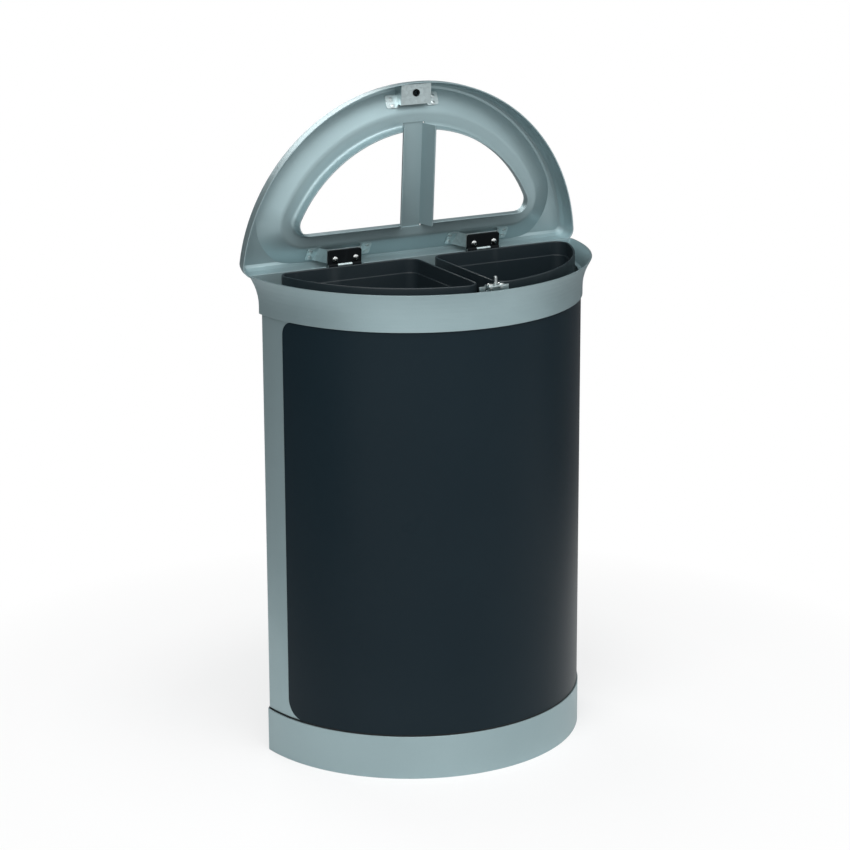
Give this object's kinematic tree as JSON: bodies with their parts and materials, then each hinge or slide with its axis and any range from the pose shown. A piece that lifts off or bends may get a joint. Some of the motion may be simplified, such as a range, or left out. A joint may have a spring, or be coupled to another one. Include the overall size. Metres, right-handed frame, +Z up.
{
  "type": "double recycling bin",
  "caption": "Half-round floor bin for two waste streams: lift-out liners side by side in a steel body under a hinged lid with two openings.",
  "frame": {"origin": "middle of the flat back's foot, on the floor", "axes": "+X to the right as seen from the round front, +Y towards the flat back, +Z up; the back panel's plane is y = 0"},
  "size_m": [0.6566, 0.3428, 1.1799],
  "materials": {
    "silver_paint": "satin",
    "dark_paint": "satin",
    "liner_plastic": "satin",
    "black_plastic": "satin",
    "trim_rubber": "matte",
    "zinc_plate": "satin",
    "plain_steel": "satin",
    "rivet_metal": "satin",
    "bright_screw": "polished"
  },
  "bodies": {
    "base": {"plinth": "silver_paint", "glide_brackets": "zinc_plate", "glide_nuts": "plain_steel", "trim_strip": "trim_rubber", "floor_pan": "zinc_plate", "floor_bolts": "plain_steel", "floor_nuts": "plain_steel", "shell": "silver_paint", "back_panel": "silver_paint", "back_rivets": "rivet_metal", "front_panel": "dark_paint", "collar": "silver_paint", "collar_rivets": "rivet_metal", "hinge_strap_left": "zinc_plate", "hinge_strap_right": "zinc_plate", "strap_rivets": "rivet_metal", "catch_bracket": "zinc_plate", "catch_stud": "plain_steel", "catch_screws": "bright_screw", "catch_nuts": "plain_steel"},
    "lid": {"lid_shell": "silver_paint", "divider_bar": "silver_paint", "hinge_bracket_left": "zinc_plate", "hinge_bracket_right": "zinc_plate", "hinge_leaf_left": "black_plastic", "hinge_leaf_right": "black_plastic", "hinge_pin_left": "plain_steel", "hinge_pin_right": "plain_steel", "hinge_screws": "bright_screw", "hinge_nuts": "plain_steel", "bracket_rivets": "rivet_metal", "striker_box": "zinc_plate", "striker_bush": "black_plastic", "striker_rivets": "rivet_metal"},
    "liner_left": {"liner_left": "liner_plastic"},
    "liner_right": {"liner_right": "liner_plastic"},
    "glide_front_left": {"glide_stem_front_left": "plain_steel", "glide_pad_front_left": "black_plastic"},
    "glide_front_right": {"glide_stem_front_right": "plain_steel", "glide_pad_front_right": "black_plastic"},
    "glide_back_left": {"glide_stem_back_left": "plain_steel", "glide_pad_back_left": "black_plastic"},
    "glide_back_right": {"glide_stem_back_right": "plain_steel", "glide_pad_back_right": "black_plastic"}
  },
  "joints": [
    {"name": "lid_hinge", "type": "hinge", "parent": "base", "child": "lid", "pos_m": [0, 0.002, 0.869], "axis": [-1, 0, 0], "range_deg": [-85.5, 0]},
    {"name": "liner_left_lift", "type": "slide", "parent": "base", "child": "liner_left", "axis": [0, 0, 1], "range_m": [0, 0.8]},
    {"name": "liner_right_lift", "type": "slide", "parent": "base", "child": "liner_right", "axis": [0, 0, 1], "range_m": [0, 0.8]},
    {"name": "glide_front_left_screw", "type": "slide", "parent": "base", "child": "glide_front_left", "axis": [0, 0, -1], "range_m": [0, 0.012]},
    {"name": "glide_front_right_screw", "type": "slide", "parent": "base", "child": "glide_front_right", "axis": [0, 0, -1], "range_m": [0, 0.012]},
    {"name": "glide_back_left_screw", "type": "slide", "parent": "base", "child": "glide_back_left", "axis": [0, 0, -1], "range_m": [0, 0.012]},
    {"name": "glide_back_right_screw", "type": "slide", "parent": "base", "child": "glide_back_right", "axis": [0, 0, -1], "range_m": [0, 0.012]}
  ]
}
